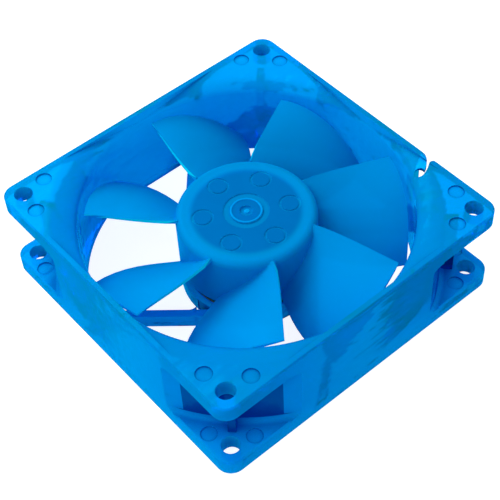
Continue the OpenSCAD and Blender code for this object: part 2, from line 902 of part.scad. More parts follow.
// A point of the blade's skin, offset square to the surface on a cylinder round the shaft
function skin(row, step, side) =
    let (r = hub_r - ROOT_SINK + (tip_r - hub_r + ROOT_SINK) * row / BLADE_ROWS,
        u = max(0, (r - hub_r) / (tip_r - hub_r)),
        s = step / BLADE_STEPS,
        along = -r * chord_angle(u) * PI / 180,
        rise = mid_slope(u, s),
        off = side * thickness(u, s) / 2 / norm([along, rise]),
        a = mid_angle(u, s) - rise * off / r * 180 / PI)
    [r * cos(a), r * sin(a), mid_height(u, s) + along * off];

// Closed skin of one blade: front face, rear face and the four edges between them
module blade() {
    rows = BLADE_ROWS;
    steps = BLADE_STEPS;
    width = steps + 1;
    back = (rows + 1) * width;
    points = [for (side = [1, -1], i = [0 : rows], j = [0 : steps]) skin(i, j, side)];
    front_faces = [for (i = [0 : rows - 1], j = [0 : steps - 1])
        let (k = i * width + j) [k, k + 1, k + width + 1, k + width]];
    back_faces = [for (f = front_faces) [f[3] + back, f[2] + back, f[1] + back, f[0] + back]];
    edge_faces = concat(
        [for (j = [0 : steps - 1]) [j, j + back, j + 1 + back, j + 1]],
        [for (j = [0 : steps - 1]) let (k = rows * width + j) [k + 1, k + 1 + back, k + back, k]],
        [for (i = [0 : rows - 1]) let (k = i * width) [k + width, k + width + back, k + back, k]],
        [for (i = [0 : rows - 1])
            let (k = i * width + steps) [k, k + back, k + width + back, k + width]]);
    polyhedron(points, concat(front_faces, back_faces, edge_faces));
}

module impeller() {
    color(BLUE_ROTOR)
        difference() {
            union() {
                hub_cup();
                for (i = [0 : blade_count - 1])
                    rotate([0, 0, 360 * i / blade_count])
                        blade();
            }
            disc(hub_r - hub_wall, hub_low - OVER, plate_top - hub_low + OVER);
            disc(neck_r + press_gap, plate_low, neck_entry + yoke_thick + press_gap);
            hub_marks();
        }
}

module rotor_yoke() {
    color([0.70, 0.71, 0.73])
        difference() {
            disc(yoke_r, yoke_low, plate_top - yoke_low);
            disc(yoke_r - yoke_thick, yoke_low - OVER, plate_low - yoke_low + OVER);
            disc(neck_r + press_gap, plate_low - OVER, yoke_thick + 2 * OVER);
        }
}

module ring_magnet() {
    color([0.16, 0.15, 0.15])
        ring(magnet_r, magnet_in_r, magnet_low, magnet_top - magnet_low);
}

module shaft_boss() {
    color(BRASS)
        difference() {
            union() {
                disc(boss_r, boss_low, plate_low - boss_low);
                disc(neck_r, boss_low, shaft_top - boss_low);
            }
            disc(shaft_r + press_gap, boss_low - OVER, shaft_top - boss_low + 2 * OVER);
        }
}

module shaft() {
    tip = 0.4;             // chamfer of the shaft's lower end
    color([0.78, 0.79, 0.81])
        rotate_extrude()
            polygon([[0, shaft_low], [shaft_r - tip, shaft_low], [shaft_r, shaft_low + tip],
                [shaft_r, ring_low - press_gap], [shaft_r - groove_depth, ring_low - press_gap],
                [shaft_r - groove_depth, ring_low + ring_thick + press_gap],
                [shaft_r, ring_low + ring_thick + press_gap], [shaft_r, shaft_top],
                [0, shaft_top]]);
}

// Split ring that snaps into the shaft's groove and keeps the rotor in
module retaining_ring() {
    outer = (shaft_r + tube_in_r) / 2;
    slot = 0.8;
    color([0.35, 0.36, 0.38])
        difference() {
            ring(outer, shaft_r - groove_depth + press_gap, ring_low, ring_thick);
            translate([0, -slot / 2, ring_low - OVER])
                cube([outer + OVER, slot, ring_thick + 2 * OVER]);
        }
}

module wear_washer() {
    color([0.90, 0.90, 0.86])
        ring(boss_r - axial_play, shaft_r + press_gap, washer_low, washer_thick);
}

frame();
bearing_tube();
sleeve_bearing();
bearing_plug();
thrust_pad();
oil_felt();
tube_cap();
stator_core();
insulator_front();
insulator_rear();
coil_a();
coil_b();
coil_c();
coil_d();
terminal_pins();
circuit_board();
hall_sensor();
driver_chip();
filter_capacitor();
blocking_diode();
chip_resistors();
lead_pads();
impeller();
rotor_yoke();
ring_magnet();
shaft_boss();
shaft();
retaining_ring();
wear_washer();
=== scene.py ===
"""Translucent blue case fan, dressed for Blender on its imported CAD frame.

The housing and the impeller are refined from the CAD mouldings. The motor parts behind the
hub keep their CAD shapes or are rebuilt in finer detail. Lengths are in metres and in the
frame of the CAD: the fan lies on its rear face, and the air enters from above.
"""

import json
import logging
import math
from dataclasses import dataclass, field
from enum import Enum
from typing import Sequence

import bmesh
import bpy
from mathutils import Matrix, Quaternion, Vector
from mathutils.bvhtree import BVHTree


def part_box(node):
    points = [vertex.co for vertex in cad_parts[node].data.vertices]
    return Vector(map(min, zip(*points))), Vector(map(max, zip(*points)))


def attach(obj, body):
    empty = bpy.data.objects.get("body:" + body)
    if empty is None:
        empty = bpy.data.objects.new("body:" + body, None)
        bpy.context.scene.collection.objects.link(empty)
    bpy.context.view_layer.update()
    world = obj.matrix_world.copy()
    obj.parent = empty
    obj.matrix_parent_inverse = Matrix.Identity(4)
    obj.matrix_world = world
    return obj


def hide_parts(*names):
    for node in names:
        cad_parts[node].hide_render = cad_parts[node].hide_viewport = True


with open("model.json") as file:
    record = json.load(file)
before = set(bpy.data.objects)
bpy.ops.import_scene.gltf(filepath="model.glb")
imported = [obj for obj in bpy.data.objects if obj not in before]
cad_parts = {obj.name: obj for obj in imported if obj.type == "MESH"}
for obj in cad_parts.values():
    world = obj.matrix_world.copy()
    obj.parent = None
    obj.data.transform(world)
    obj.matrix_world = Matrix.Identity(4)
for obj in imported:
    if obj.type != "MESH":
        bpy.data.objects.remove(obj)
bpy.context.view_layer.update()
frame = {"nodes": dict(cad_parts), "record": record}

MM = 0.001
IMAGE_W = 500
IMAGE_H = 500
LONG_SIDE = max(IMAGE_W, IMAGE_H)
WHITE = (1.0, 1.0, 1.0, 1.0)
CREASE = math.radians(26)
CREST_ANGLE = math.radians(8)
# Share of the paler rim colour on thin round edges: painted highlight
CREST_LIGHT = 0.5
NOISE_ROUGH = 0.45
FLOW_TURN = (0.5, 0.6, 0.4)
FLOW_STRETCH = (26.0, 95.0, 95.0)
TRACK_GRAIN = 0.15
DISC_BORDER = 0.9 * MM
TURN_ROUNDS = 5

Rgb = tuple[float, float, float]
Pair = tuple[float, float]
Shape = bmesh.types.BMesh
Edge = bmesh.types.BMEdge
Piece = bpy.types.Object
Mesh = bpy.types.Mesh
Material = bpy.types.Material
Tree = bpy.types.NodeTree
Node = bpy.types.Node
Socket = bpy.types.NodeSocket
Inputs = dict[str | int, object]

log = logging.getLogger("case_fan")

# Image points: what shows in the photograph, in its pixels from the top left
POINT_LEFT_X = 3.0
POINT_RIGHT_X = 497.0
POINT_TOP_Y = 38.1
POINT_BOTTOM_Y = 473.9
POINT_HOLE_NEAR = (226.0, 393.0)
POINT_HOLE_RIGHT = (472.0, 208.0)
POINT_HOLE_FAR = (261.5, 52.0)
POINT_HOLE_LEFT = (25.0, 195.0)
POINT_REAR_HOLE_NEAR = (231.0, 447.7)
POINT_REAR_HOLE_RIGHT = (464.5, 270.0)
POINT_REAR_HOLE_LEFT = (39.0, 254.0)
POINT_HUB_GATE = (247.0, 211.5)
POINT_MARK_RIGHT = (457.0, 224.5)
POINT_MARK_NEAR = (200.0, 374.0)
POINT_NOTCH_EYE = (422.2, 170.3)


class Pattern(Enum):
    """Patterns that a surface of the fan can have."""

    GRAIN = "moulded_grain"
    TURNED = "turned_rings"
    TRACKS = "board_tracks"


def middle_of(vertices: Sequence) -> Vector:
    """Returns the mean place of vertices."""
    return sum((v.co for v in vertices), Vector()) / len(vertices)


# Camera


@dataclass(frozen=True)
class PhotoCamera:
    """Camera that stands where the photograph was taken from."""

    place: Vector = Vector((-115.74, -148.77, 233.63)) * MM
    aim: Vector = Vector((-2.17, -3.28, 12.5)) * MM
    roll: float = math.radians(-3.45)
    lens: float = 90.53
    sensor: float = 36.0
    shift_x: float = 0.0
    shift_y: float = 0.0
    near: float = 0.01
    far: float = 20.0

    def turn(self) -> Quaternion:
        """Returns the camera's orientation: the aim first, then the roll about it."""
        return (self.aim - self.place).to_track_quat("-Z", "Y") @ Quaternion((0, 0, 1), self.roll)

    def build(self) -> None:
        """Makes the camera and hands it to the scene."""
        data = bpy.data.cameras.new("photo_camera")
        data.lens = self.lens
        data.sensor_width = self.sensor
        data.sensor_fit = "AUTO"
        data.shift_x = self.shift_x
        data.shift_y = self.shift_y
        data.dof.use_dof = False
        data.clip_start = self.near
        data.clip_end = self.far
        camera = bpy.data.objects.new("photo_camera", data)
        camera.rotation_mode = "QUATERNION"
        camera.location = self.place
        camera.rotation_quaternion = self.turn()
        bpy.context.scene.collection.objects.link(camera)
        bpy.context.scene.camera = camera

    def ray(self, x: float, y: float) -> Vector:
        """Points from the camera through a place of the image.

        Args:
            x: Pixels from the image's left side.
            y: Pixels from the image's top.

        Returns:
            The direction of the ray, in the part's frame.
        """
        across = x - IMAGE_W / 2 + self.shift_x * LONG_SIDE
        up = IMAGE_H / 2 - y + self.shift_y * LONG_SIDE
        local = Vector((across, up, -LONG_SIDE * self.lens / self.sensor))
        return (self.turn() @ local).normalized()

    def pixel(self, place: Vector) -> Pair:
        """Finds where a place of the part shows.

        Args:
            place: A place in the part's frame.

        Returns:
            Its pixel, x from the left and y from the top.
        """
        local = self.turn().inverted() @ (place - self.place)
        scale = LONG_SIDE * self.lens / self.sensor / -local.z
        x = local.x * scale + IMAGE_W / 2 - self.shift_x * LONG_SIDE
        y = IMAGE_H / 2 - local.y * scale + self.shift_y * LONG_SIDE
        return x, y

    def meet(self, point: Pair, carrier: Piece) -> Vector:
        """Finds the place of a finished piece that shows at an image point.

        Args:
            point: The image point, in pixels.
            carrier: The piece that carries what is placed.

        Returns:
            The place. A ray that misses takes the nearest one.
        """
        evaluated = carrier.evaluated_get(bpy.context.evaluated_depsgraph_get())
        shape = bmesh.new()
        shape.from_mesh(evaluated.to_mesh())
        shape.transform(carrier.matrix_world)
        tree = BVHTree.FromBMesh(shape)
        direction = self.ray(*point)
        place = tree.ray_cast(self.place, direction)[0]
        if place is None:
            reach = (middle_of(shape.verts) - self.place).dot(direction)
            place = tree.find_nearest(self.place + direction * reach)[0]
        shape.free()
        evaluated.to_mesh_clear()
        return place


# Nodes


class Nodes:
    """Helper that lays out the nodes of one tree."""

    def __init__(self, tree: Tree) -> None:
        """Takes the tree that gets the nodes."""
        self.tree = tree

    def feed(self, node: Node, inputs: Inputs) -> None:
        """Gives inputs of a node their values.

        Args:
            node: The node.
            inputs: For each input, its plain value or the output that it is linked to.
        """
        for key, value in inputs.items():
            if isinstance(value, Socket):
                self.tree.links.new(value, node.inputs[key])
            else:
                node.inputs[key].default_value = value

    def add(self, kind: str, inputs: Inputs | None = None, **settings: object) -> Node:
        """Adds a node.

        Args:
            kind: Its type, without ShaderNode.
            inputs: For its inputs, as in feed.
            **settings: Attributes of the node to set.

        Returns:
            The new node.
        """
        node = self.tree.nodes.new(f"ShaderNode{kind}")
        for key, value in settings.items():
            setattr(node, key, value)
        self.feed(node, inputs or {})
        return node

    def calc(self, operation: str, *values: object, clamp: bool = False) -> Socket:
        """Adds a calculation with values or outputs, and returns its output."""
        given = dict(enumerate(values))
        return self.add("Math", given, operation=operation, use_clamp=clamp).outputs["Value"]

    def mix(self, share: Socket, a: object, b: object) -> Socket:
        """Mixes two colours or outputs by a share, and returns the result's output."""
        given = {"Factor": share, "A": a, "B": b}
        return self.add("Mix", given, data_type="RGBA").outputs["Result"]

    def blend(self, share: Socket, first: Node, second: Node) -> Node:
        """Mixes two nodes' shaders by a share, and returns the mix."""
        given = {0: share, 1: first.outputs[0], 2: second.outputs[0]}
        return self.add("MixShader", given)

    def soft_step(self, value: Socket, low: float, high: float) -> Socket:
        """Returns what rises softly from 0 to 1 between two values."""
        given = {"Value": value, "From Min": low, "From Max": high}
        step = self.add("MapRange", given, interpolation_type="SMOOTHSTEP")
        return step.outputs["Result"]

    def mask(self, name: str) -> Socket:
        """Returns a mask that the piece's faces hold as an attribute."""
        return self.add("Attribute", attribute_name=name).outputs["Fac"]

    def background_ray(self) -> Socket:
        """Finds the rays that show the plain background.

        Returns:
            1 for camera, transmission and glossy rays, and 0 for all others.
        """
        path = self.add("LightPath").outputs
        seen = path["Is Camera Ray"]
        for kind in ("Is Transmission Ray", "Is Glossy Ray"):
            seen = self.calc("MAXIMUM", seen, path[kind])
        return seen


class Group(Nodes):
    """Node group with named inputs and outputs. All are numbers but those in SOCKETS."""

    SOCKETS = {"place": "Vector", "deep": "Color", "pale": "Color", "edge": "Color", "colour": "Color"}

    def __init__(self, name: str, inputs: tuple[str, ...], outputs: tuple[str, ...]) -> None:
        """Makes the group.

        Args:
            name: Its name.
            inputs: The names of its inputs.
            outputs: The names of its outputs.
        """
        super().__init__(bpy.data.node_groups.new(name, "ShaderNodeTree"))
        for side, labels in (("INPUT", inputs), ("OUTPUT", outputs)):
            for label in labels:
                kind = f"NodeSocket{self.SOCKETS.get(label, 'Float')}"
                self.tree.interface.new_socket(label, in_out=side, socket_type=kind)
        self.given = self.tree.nodes.new("NodeGroupInput").outputs
        self.result = self.tree.nodes.new("NodeGroupOutput")


class PatternGroup(Group):
    """Group that gives a skin its colour, gloss, relief and the flow marks under it."""

    def __init__(self, pattern: Pattern) -> None:
        """Makes the group for a pattern.

        Args:
            pattern: The pattern.
        """
        inputs = ("place", "deep", "pale", "edge", "cloud", "grain", "rough", "rim")
        super().__init__(pattern.value, inputs, ("colour", "gloss", "height", "flow"))
        kinds = {Pattern.GRAIN: self.moulded_grain, Pattern.TURNED: self.turned_rings}
        kinds.get(pattern, self.board_tracks)()

    def noise(self, scale: str, detail: float) -> Socket:
        """Adds a noise over the surface.

        Args:
            scale: The input that gives the noise's scale.
            detail: How many finer layers the noise has.

        Returns:
            The noise's output.
        """
        given = {"Vector": self.given["place"], "Scale": self.given[scale]}
        given |= {"Detail": detail, "Roughness": NOISE_ROUGH}
        return self.add("TexNoise", given).outputs["Fac"]

    def finish(self, tone: Socket, skin: Socket, spread: float) -> None:
        """Turns a tone and a skin into the colour, gloss and height of a pattern.

        Args:
            tone: From 0, the deep colour, to 1, the pale one.
            skin: Fine relief, from 0 to 1.
            spread: How much the skin changes the roughness.
        """
        body = self.mix(tone, self.given["deep"], self.given["pale"])
        # Eased rims take the paler edge colour: painted highlight on the tinted plastics, edge wear on
        # the opaque finishes
        edge_wear_and_highlight = self.mix(self.given["rim"], body, self.given["edge"])
        gloss = self.calc("MULTIPLY_ADD", skin, spread, self.given["rough"])
        self.feed(self.result, {"colour": edge_wear_and_highlight, "gloss": gloss, "height": skin})

    def moulded_grain(self) -> None:
        """Lays out moulded plastic and plain skins: a cloudy tone, fine grain and flow marks."""
        self.finish(self.noise("cloud", 2.0), self.noise("grain", 3.0), spread=0.12)
        given = {"Vector": self.given["place"], "Rotation": FLOW_TURN, "Scale": FLOW_STRETCH}
        stretch = self.add("Mapping", given).outputs["Vector"]
        flow = self.add("TexNoise", {"Vector": stretch, "Detail": 1.0})
        self.feed(self.result, {"flow": flow.outputs["Fac"]})

    def turned_rings(self) -> None:
        """Lays out turned metal: fine tool marks around the fan's axis."""
        given = {"Vector": self.given["place"], "Scale": self.given["grain"]}
        given |= {"Distortion": 1.5, "Detail": 2.0}
        rings = self.add("TexWave", given, wave_type="RINGS", rings_direction="Z")
        self.finish(self.noise("cloud", 3.0), rings.outputs["Fac"], spread=0.18)

    def board_tracks(self) -> None:
        """Lays out a printed board: copper areas that show through the green mask."""
        given = {"Vector": self.given["place"], "Scale": self.given["cloud"]}
        areas = self.add("TexVoronoi", given, feature="DISTANCE_TO_EDGE")
        copper = self.soft_step(areas.outputs["Distance"], low=0.05, high=0.08)
        relief = self.calc("MULTIPLY_ADD", self.noise("grain", 2.0), TRACK_GRAIN, copper)
        self.finish(copper, relief, spread=0.05)


class PlateShadeDisc(Group):
    """Group that marks where painted shade goes: where a metal plate lies close behind the plastic and
    keeps light from coming through.

    Its mask is 1 within the radius around the fan's axis above the height, with a soft border.
    """

    def __init__(self) -> None:
        """Makes the group."""
        super().__init__("plate_shade_disc", ("place", "radius", "height"), ("mask",))
        given = {0: self.given["place"], 1: (1.0, 1.0, 0.0)}
        flat = self.add("VectorMath", given, operation="MULTIPLY").outputs["Vector"]
        out = self.add("VectorMath", {0: flat}, operation="LENGTH").outputs["Value"]
        depth = self.calc("SUBTRACT", self.given["radius"], out)
        within = self.soft_step(depth, -DISC_BORDER, DISC_BORDER)
        split = self.add("SeparateXYZ", {"Vector": self.given["place"]})
        above = self.calc("GREATER_THAN", split.outputs["Z"], self.given["height"])
        self.feed(self.result, {"mask": self.calc("MULTIPLY", within, above)})


class Shader(Nodes):
    """Nodes of a material, which starts with a Principled BSDF."""

    def __init__(self, name: str) -> None:
        """Starts the material.

        Args:
            name: The material's name.
        """
        self.material = bpy.data.materials.new(name)
        self.material.use_nodes = True
        super().__init__(self.material.node_tree)
        self.tree.nodes.clear()
        self.surface = self.add("BsdfPrincipled")
        self.output = self.add("OutputMaterial", {"Surface": self.surface.outputs["BSDF"]})


def rgba(colour: Rgb) -> tuple[float, float, float, float]:
    """Returns an opaque colour for a socket."""
    return (*colour, 1.0)


def pattern_tree(pattern: Pattern) -> Tree:
    """Returns a pattern's group, which is built at its first use."""
    return bpy.data.node_groups.get(pattern.value) or PatternGroup(pattern).tree


# Finishes


@dataclass(frozen=True)
class Finish:
    """Opaque metal, rubber, felt or resin with a fine procedural surface.

    Where no slot is given, the record's material slot has the finish's name.
    """

    name: str
    deep: Rgb
    pale: Rgb
    edge: Rgb
    slot: str = ""
    rough: float = 0.4
    metal: float = 0.0
    pattern: Pattern = Pattern.GRAIN
    cloud: float = 300.0
    grain: float = 4000.0
    relief: float = 0.01 * MM
    relief_share: float = 0.6
    fuzz: float = 0.0
    coat: float = 0.0

    def material(self) -> Material:
        """Returns the material, built at its first use. The CAD's flat ones have the slots' names."""
        return bpy.data.materials.get(f"{self.name}_finish") or self.build()

    def skin(self, shader: Shader, place: Socket, rim: Socket) -> bpy.types.NodeOutputs:
        """Lays the pattern over the surface: its colour, its roughness and its relief.

        Args:
            shader: The material's nodes.
            place: The place on the surface.
            rim: The mask of eased edges.

        Returns:
            The outputs of the pattern's group.
        """
        colours = {"deep": rgba(self.deep), "pale": rgba(self.pale), "edge": rgba(self.edge)}
        numbers = {"cloud": self.cloud, "grain": self.grain, "rough": self.rough}
        given = {"place": place, "rim": rim, **colours, **numbers}
        skin = shader.add("Group", given, node_tree=pattern_tree(self.pattern)).outputs
        depth = {"Distance": self.relief, "Strength": self.relief_share, "Height": skin["height"]}
        bump = shader.add("Bump", depth).outputs["Normal"]
        look = {"Base Color": skin["colour"], "Roughness": skin["gloss"], "Normal": bump}
        shader.feed(shader.surface, look)
        return skin

    def build(self) -> Material:
        """Lays out the material.

        Returns:
            The material.
        """
        shader = Shader(f"{self.name}_finish")
        place = shader.add("TexCoord").outputs["Object"]
        self.skin(shader, place, shader.mask("rim"))
        kind = {"Metallic": self.metal, "Sheen Weight": self.fuzz, "Coat Weight": self.coat}
        shader.feed(shader.surface, kind)
        return shader.material


@dataclass(frozen=True, kw_only=True)
class TintedPlastic(Finish):
    """See-through moulding plastic: a hazy body, clear depth, a tinted gloss, painted shade and painted
    highlight.
    """

    through: Rgb
    clear: float
    clear_rough: float
    absorb_colour: Rgb
    absorb: float = 60.0
    gloss: Rgb = (0.0, 0.50, 0.95)
    edge_clear: float = 0.2
    rough: float = 0.3
    cloud: float = 60.0
    grain: float = 2500.0
    relief: float = 0.02 * MM
    relief_share: float = 0.3
    ior: float = 1.25
    haze: float = 0.6
    haze_spread: float = 0.5
    # Painted shade: the body's and the depth's colours deep in recesses
    painted_recess_shade: Rgb = (0.0, 0.06, 0.30)
    painted_recess_shade_through: Rgb = (0.0, 0.12, 0.45)
    recess_reach: float = 14.0 * MM
    recess_power: float = 2.0
    recess_samples: int = 5
    passing: Rgb = (0.0, 0.44, 0.48)
    rim_open: float = 0.7
    flow: float = 0.0
    gloss_rough: float = 0.12
    painted_plate_shade: Rgb = (0.0, 0.0, 0.0)
    plate_shade_r: float = 0.0
    plate_shade_z: float = 0.0

    def openness(self, shader: Shader, rim: Socket) -> Socket:
        """Finds how open a place of the skin is, from 0 deep in a recess to 1, which sets how much
        painted shade it gets.

        Args:
            shader: The material's nodes.
            rim: The mask of eased edges, which get painted light in a recess too.

        Returns:
            The output that gives it. Inner sides of the skin count as open.
        """
        reach = {"Distance": self.recess_reach}
        settings = {"samples": self.recess_samples, "only_local": True}
        around = shader.add("AmbientOcclusion", reach, **settings).outputs["AO"]
        bent = shader.calc("POWER", around, self.recess_power)
        # The pocket mask takes openness away: painted shade deep between the flanges
        lit = shader.calc("SUBTRACT", bent, shader.mask("pocket_shade_mask"), clamp=True)
        inner = shader.add("NewGeometry").outputs["Backfacing"]
        either = shader.calc("MAXIMUM", lit, inner)
        # Eased rims count as more open: painted light on edges in recesses
        return shader.calc("MULTIPLY_ADD", rim, self.rim_open, either, clamp=True)

    def body(self, shader: Shader, rim: Socket, openness: Socket) -> bpy.types.NodeOutputs:
        """Lays out the hazy body.

        Args:
            shader: The material's nodes.
            rim: The mask of eased edges.
            openness: How open each place is.

        Returns:
            The outputs of the pattern's group.
        """
        place = shader.add("TexCoord").outputs["Object"]
        skin = self.skin(shader, place, rim)
        # Painted shade: the body darkens towards the painted recess shade where the place is less open
        colour = shader.mix(openness, rgba(self.painted_recess_shade), skin["colour"])
        # Painted shade: the hub's face darkens over the metal plate behind it, except on the rims
        if self.plate_shade_r > 0:
            tree = bpy.data.node_groups.get("plate_shade_disc") or PlateShadeDisc().tree
            given = {"place": place, "radius": self.plate_shade_r, "height": self.plate_shade_z}
            painted_plate_shade = shader.add("Group", given, node_tree=tree).outputs["mask"]
            plain = shader.calc("SUBTRACT", painted_plate_shade, rim, clamp=True)
            colour = shader.mix(plain, colour, rgba(self.painted_plate_shade))
        look = {"Base Color": colour, "Specular IOR Level": 0.0, "Sheen Weight": self.haze}
        look |= {"Sheen Roughness": self.haze_spread, "Sheen Tint": rgba(self.gloss)}
        shader.feed(shader.surface, look)
        return skin

    def build(self) -> Material:
        """Lays out the material.

        Returns:
            The material: the body, the clear depth and the gloss, and for shadow rays the
            light that passes.
        """
        shader = Shader(f"{self.name}_finish")
        rim = shader.mask("rim")
        openness = self.openness(shader, rim)
        skin = self.body(shader, rim, openness)
        # Painted shade on the clear depth too: its tint darkens in recesses
        tint = shader.mix(openness, rgba(self.painted_recess_shade_through), rgba(self.through))
        look = {"Color": tint, "Roughness": self.clear_rough, "IOR": self.ior}
        depth = shader.add("BsdfRefraction", look)
        look = {"Color": rgba(self.gloss), "Roughness": self.gloss_rough}
        shine = shader.add("BsdfAnisotropic", look)
        if self.flow > 0:
            marks = {"Distance": self.flow, "Height": skin["flow"]}
            wave = shader.add("Bump", marks).outputs["Normal"]
            for node in (depth, shine):
                shader.feed(node, {"Normal": wave})
        # Rims are less clear, so that the paler edge colour shows: painted highlight
        limits = {"Value": rim, "To Min": self.clear, "To Max": self.edge_clear}
        clear = shader.add("MapRange", limits).outputs["Result"]
        facing = shader.add("Fresnel", {"IOR": self.ior}).outputs["Fac"]
        coated = shader.blend(facing, shader.blend(clear, shader.surface, depth), shine)
        passing = shader.add("BsdfTransparent", {"Color": rgba(self.passing)})
        shadow = shader.add("LightPath").outputs["Is Shadow Ray"]
        whole = shader.blend(shadow, coated, passing).outputs["Shader"]
        look = {"Color": rgba(self.absorb_colour), "Density": self.absorb}
        inside = shader.add("VolumeAbsorption", look).outputs["Volume"]
        shader.feed(shader.output, {"Surface": whole, "Volume": inside})
        return shader.material


# Each finish: its name, then its deep, pale and edge colour
# On the tinted plastics the edge colour is painted highlight, and the recess and plate shade colours
# are painted shade
HOUSING_BLUE = TintedPlastic(
    "housing_blue", (0.0, 0.40, 0.81), (0.0, 0.48, 0.88), (0.0, 0.76, 1.0), slot="frame_plastic",
    through=(0.0, 0.58, 0.92), clear=0.58, clear_rough=0.06, edge_clear=0.3,
    absorb=120.0, absorb_colour=(0.0, 0.33, 0.86),
    painted_recess_shade=(0.0, 0.025, 0.20), painted_recess_shade_through=(0.0, 0.04, 0.32), recess_reach=6.0 * MM,
    flow=0.35 * MM,
)
IMPELLER_BLUE = TintedPlastic(
    "impeller_blue", (0.0, 0.245, 0.61), (0.0, 0.29, 0.67), (0.0, 0.90, 1.0), slot="rotor_plastic",
    through=(0.0, 0.46, 0.84), clear=0.28, clear_rough=0.12, edge_clear=0.1,
    absorb_colour=(0.0, 0.32, 0.82), gloss_rough=0.45,
    painted_recess_shade=(0.0, 0.19, 0.60), painted_recess_shade_through=(0.0, 0.25, 0.68), recess_reach=1.6 * MM,
    recess_power=1.0, painted_plate_shade=(0.0, 0.15, 0.50), plate_shade_r=12.6 * MM, plate_shade_z=20.0 * MM,
)
GATE_BLUE = TintedPlastic(
    "gate_blue", (0.0, 0.27, 0.72), (0.0, 0.32, 0.78), (0.0, 0.42, 0.84), slot="rotor_plastic",
    through=(0.0, 0.42, 0.85), clear=0.2, clear_rough=0.1, absorb_colour=(0.0, 0.30, 0.80),
)
TURNED_BRASS = Finish(
    "turned_brass", (0.58, 0.42, 0.16), (0.74, 0.57, 0.26), (0.86, 0.72, 0.42), "brass",
    rough=0.22, metal=1.0, pattern=Pattern.TURNED, relief=0.004 * MM,
)
SINTERED_BRONZE = Finish(
    "sintered_bronze", (0.30, 0.17, 0.07), (0.46, 0.29, 0.13), (0.60, 0.42, 0.22), "bronze",
    rough=0.42, metal=0.9, cloud=900.0, grain=7000.0, relief=0.02 * MM,
)
BLACK_RUBBER = Finish(
    "black_rubber", (0.016, 0.016, 0.018), (0.030, 0.030, 0.033), (0.055, 0.055, 0.058), rough=0.55
)
WHITE_NYLON = Finish(
    "white_nylon", (0.76, 0.75, 0.70), (0.86, 0.85, 0.81), (0.93, 0.93, 0.91), rough=0.38,
    relief=0.008 * MM,
)
OILED_FELT = Finish(
    "oiled_felt", (0.34, 0.29, 0.20), (0.52, 0.46, 0.34), (0.60, 0.54, 0.42), "felt",
    rough=0.85, cloud=1500.0, grain=9000.0, relief=0.05 * MM, fuzz=0.7,
)
SILICON_STEEL = Finish(
    "silicon_steel", (0.22, 0.23, 0.26), (0.36, 0.37, 0.40), (0.62, 0.63, 0.65), rough=0.38,
    metal=0.9, cloud=700.0,
)
COPPER_WIRE = Finish(
    "copper_wire", (0.46, 0.13, 0.04), (0.68, 0.25, 0.08), (0.80, 0.38, 0.16), rough=0.24,
    metal=0.85, cloud=1200.0, relief=0.003 * MM, coat=0.6,
)
TINNED_METAL = Finish(
    "tinned_metal", (0.56, 0.56, 0.55), (0.72, 0.72, 0.71), (0.84, 0.84, 0.83), rough=0.28,
    metal=1.0, cloud=1500.0,
)
BOARD_LAMINATE = Finish(
    "board_laminate", (0.010, 0.085, 0.040), (0.022, 0.165, 0.070), (0.32, 0.34, 0.16), rough=0.32,
    pattern=Pattern.TRACKS, cloud=420.0, relief=0.035 * MM, coat=0.4,
)
BLACK_EPOXY = Finish(
    "black_epoxy", (0.012, 0.012, 0.013), (0.024, 0.024, 0.026), (0.045, 0.045, 0.048), rough=0.42,
    cloud=900.0,
)
CAPACITOR_CAN = Finish(
    "capacitor_can", (0.55, 0.56, 0.58), (0.70, 0.71, 0.73), (0.86, 0.87, 0.88), rough=0.24,
    metal=0.95, relief=0.004 * MM,
)
DIODE_GLASS = Finish(
    "diode_glass", (0.30, 0.055, 0.02), (0.48, 0.11, 0.04), (0.62, 0.24, 0.12), rough=0.12,
    cloud=900.0, relief=0.002 * MM, coat=0.8,
)
ZINC_STEEL = Finish(
    "zinc_steel", (0.60, 0.62, 0.65), (0.74, 0.76, 0.79), (0.86, 0.88, 0.90), rough=0.34,
    metal=0.9, cloud=500.0, relief=0.006 * MM,
)
MAGNET_RUBBER = Finish(
    "magnet_rubber", (0.045, 0.040, 0.038), (0.085, 0.076, 0.072), (0.13, 0.12, 0.11), rough=0.6,
    cloud=1100.0, relief=0.02 * MM,
)
SHAFT_STEEL = Finish(
    "shaft_steel", (0.56, 0.57, 0.59), (0.70, 0.71, 0.73), (0.84, 0.85, 0.86), rough=0.14,
    metal=1.0, pattern=Pattern.TURNED, grain=9000.0, relief=0.001 * MM,
)
SPRING_STEEL = Finish(
    "spring_steel", (0.10, 0.11, 0.13), (0.20, 0.21, 0.24), (0.42, 0.43, 0.46), rough=0.3,
    metal=1.0,
)


# Shapes


def shade_smooth(shape: Shape, sharp: float) -> None:
    """Smooths the faces and keeps the edges that are sharper than an angle.

    Args:
        shape: The shape to shade.
        sharp: The least angle between faces that stays an edge.
    """
    for face in shape.faces:
        face.smooth = True
    for edge in shape.edges:
        edge.smooth = edge.is_manifold and edge.calc_face_angle(0.0) < sharp


def bevel(shape: Shape, geom: list, width: float, segments: int, affect: str) -> dict[str, list]:
    """Rounds edges or corners.

    Args:
        shape: The shape that has them.
        geom: The edges or corners.
        width: How far the rounding reaches.
        segments: Its steps.
        affect: EDGES or VERTICES.

    Returns:
        What the operator made.
    """
    steps = {"offset": width, "offset_type": "OFFSET", "segments": segments, "profile": 0.5}
    clamp = affect == "EDGES"
    return bmesh.ops.bevel(shape, geom=geom, affect=affect, clamp_overlap=clamp, material=-1, **steps)


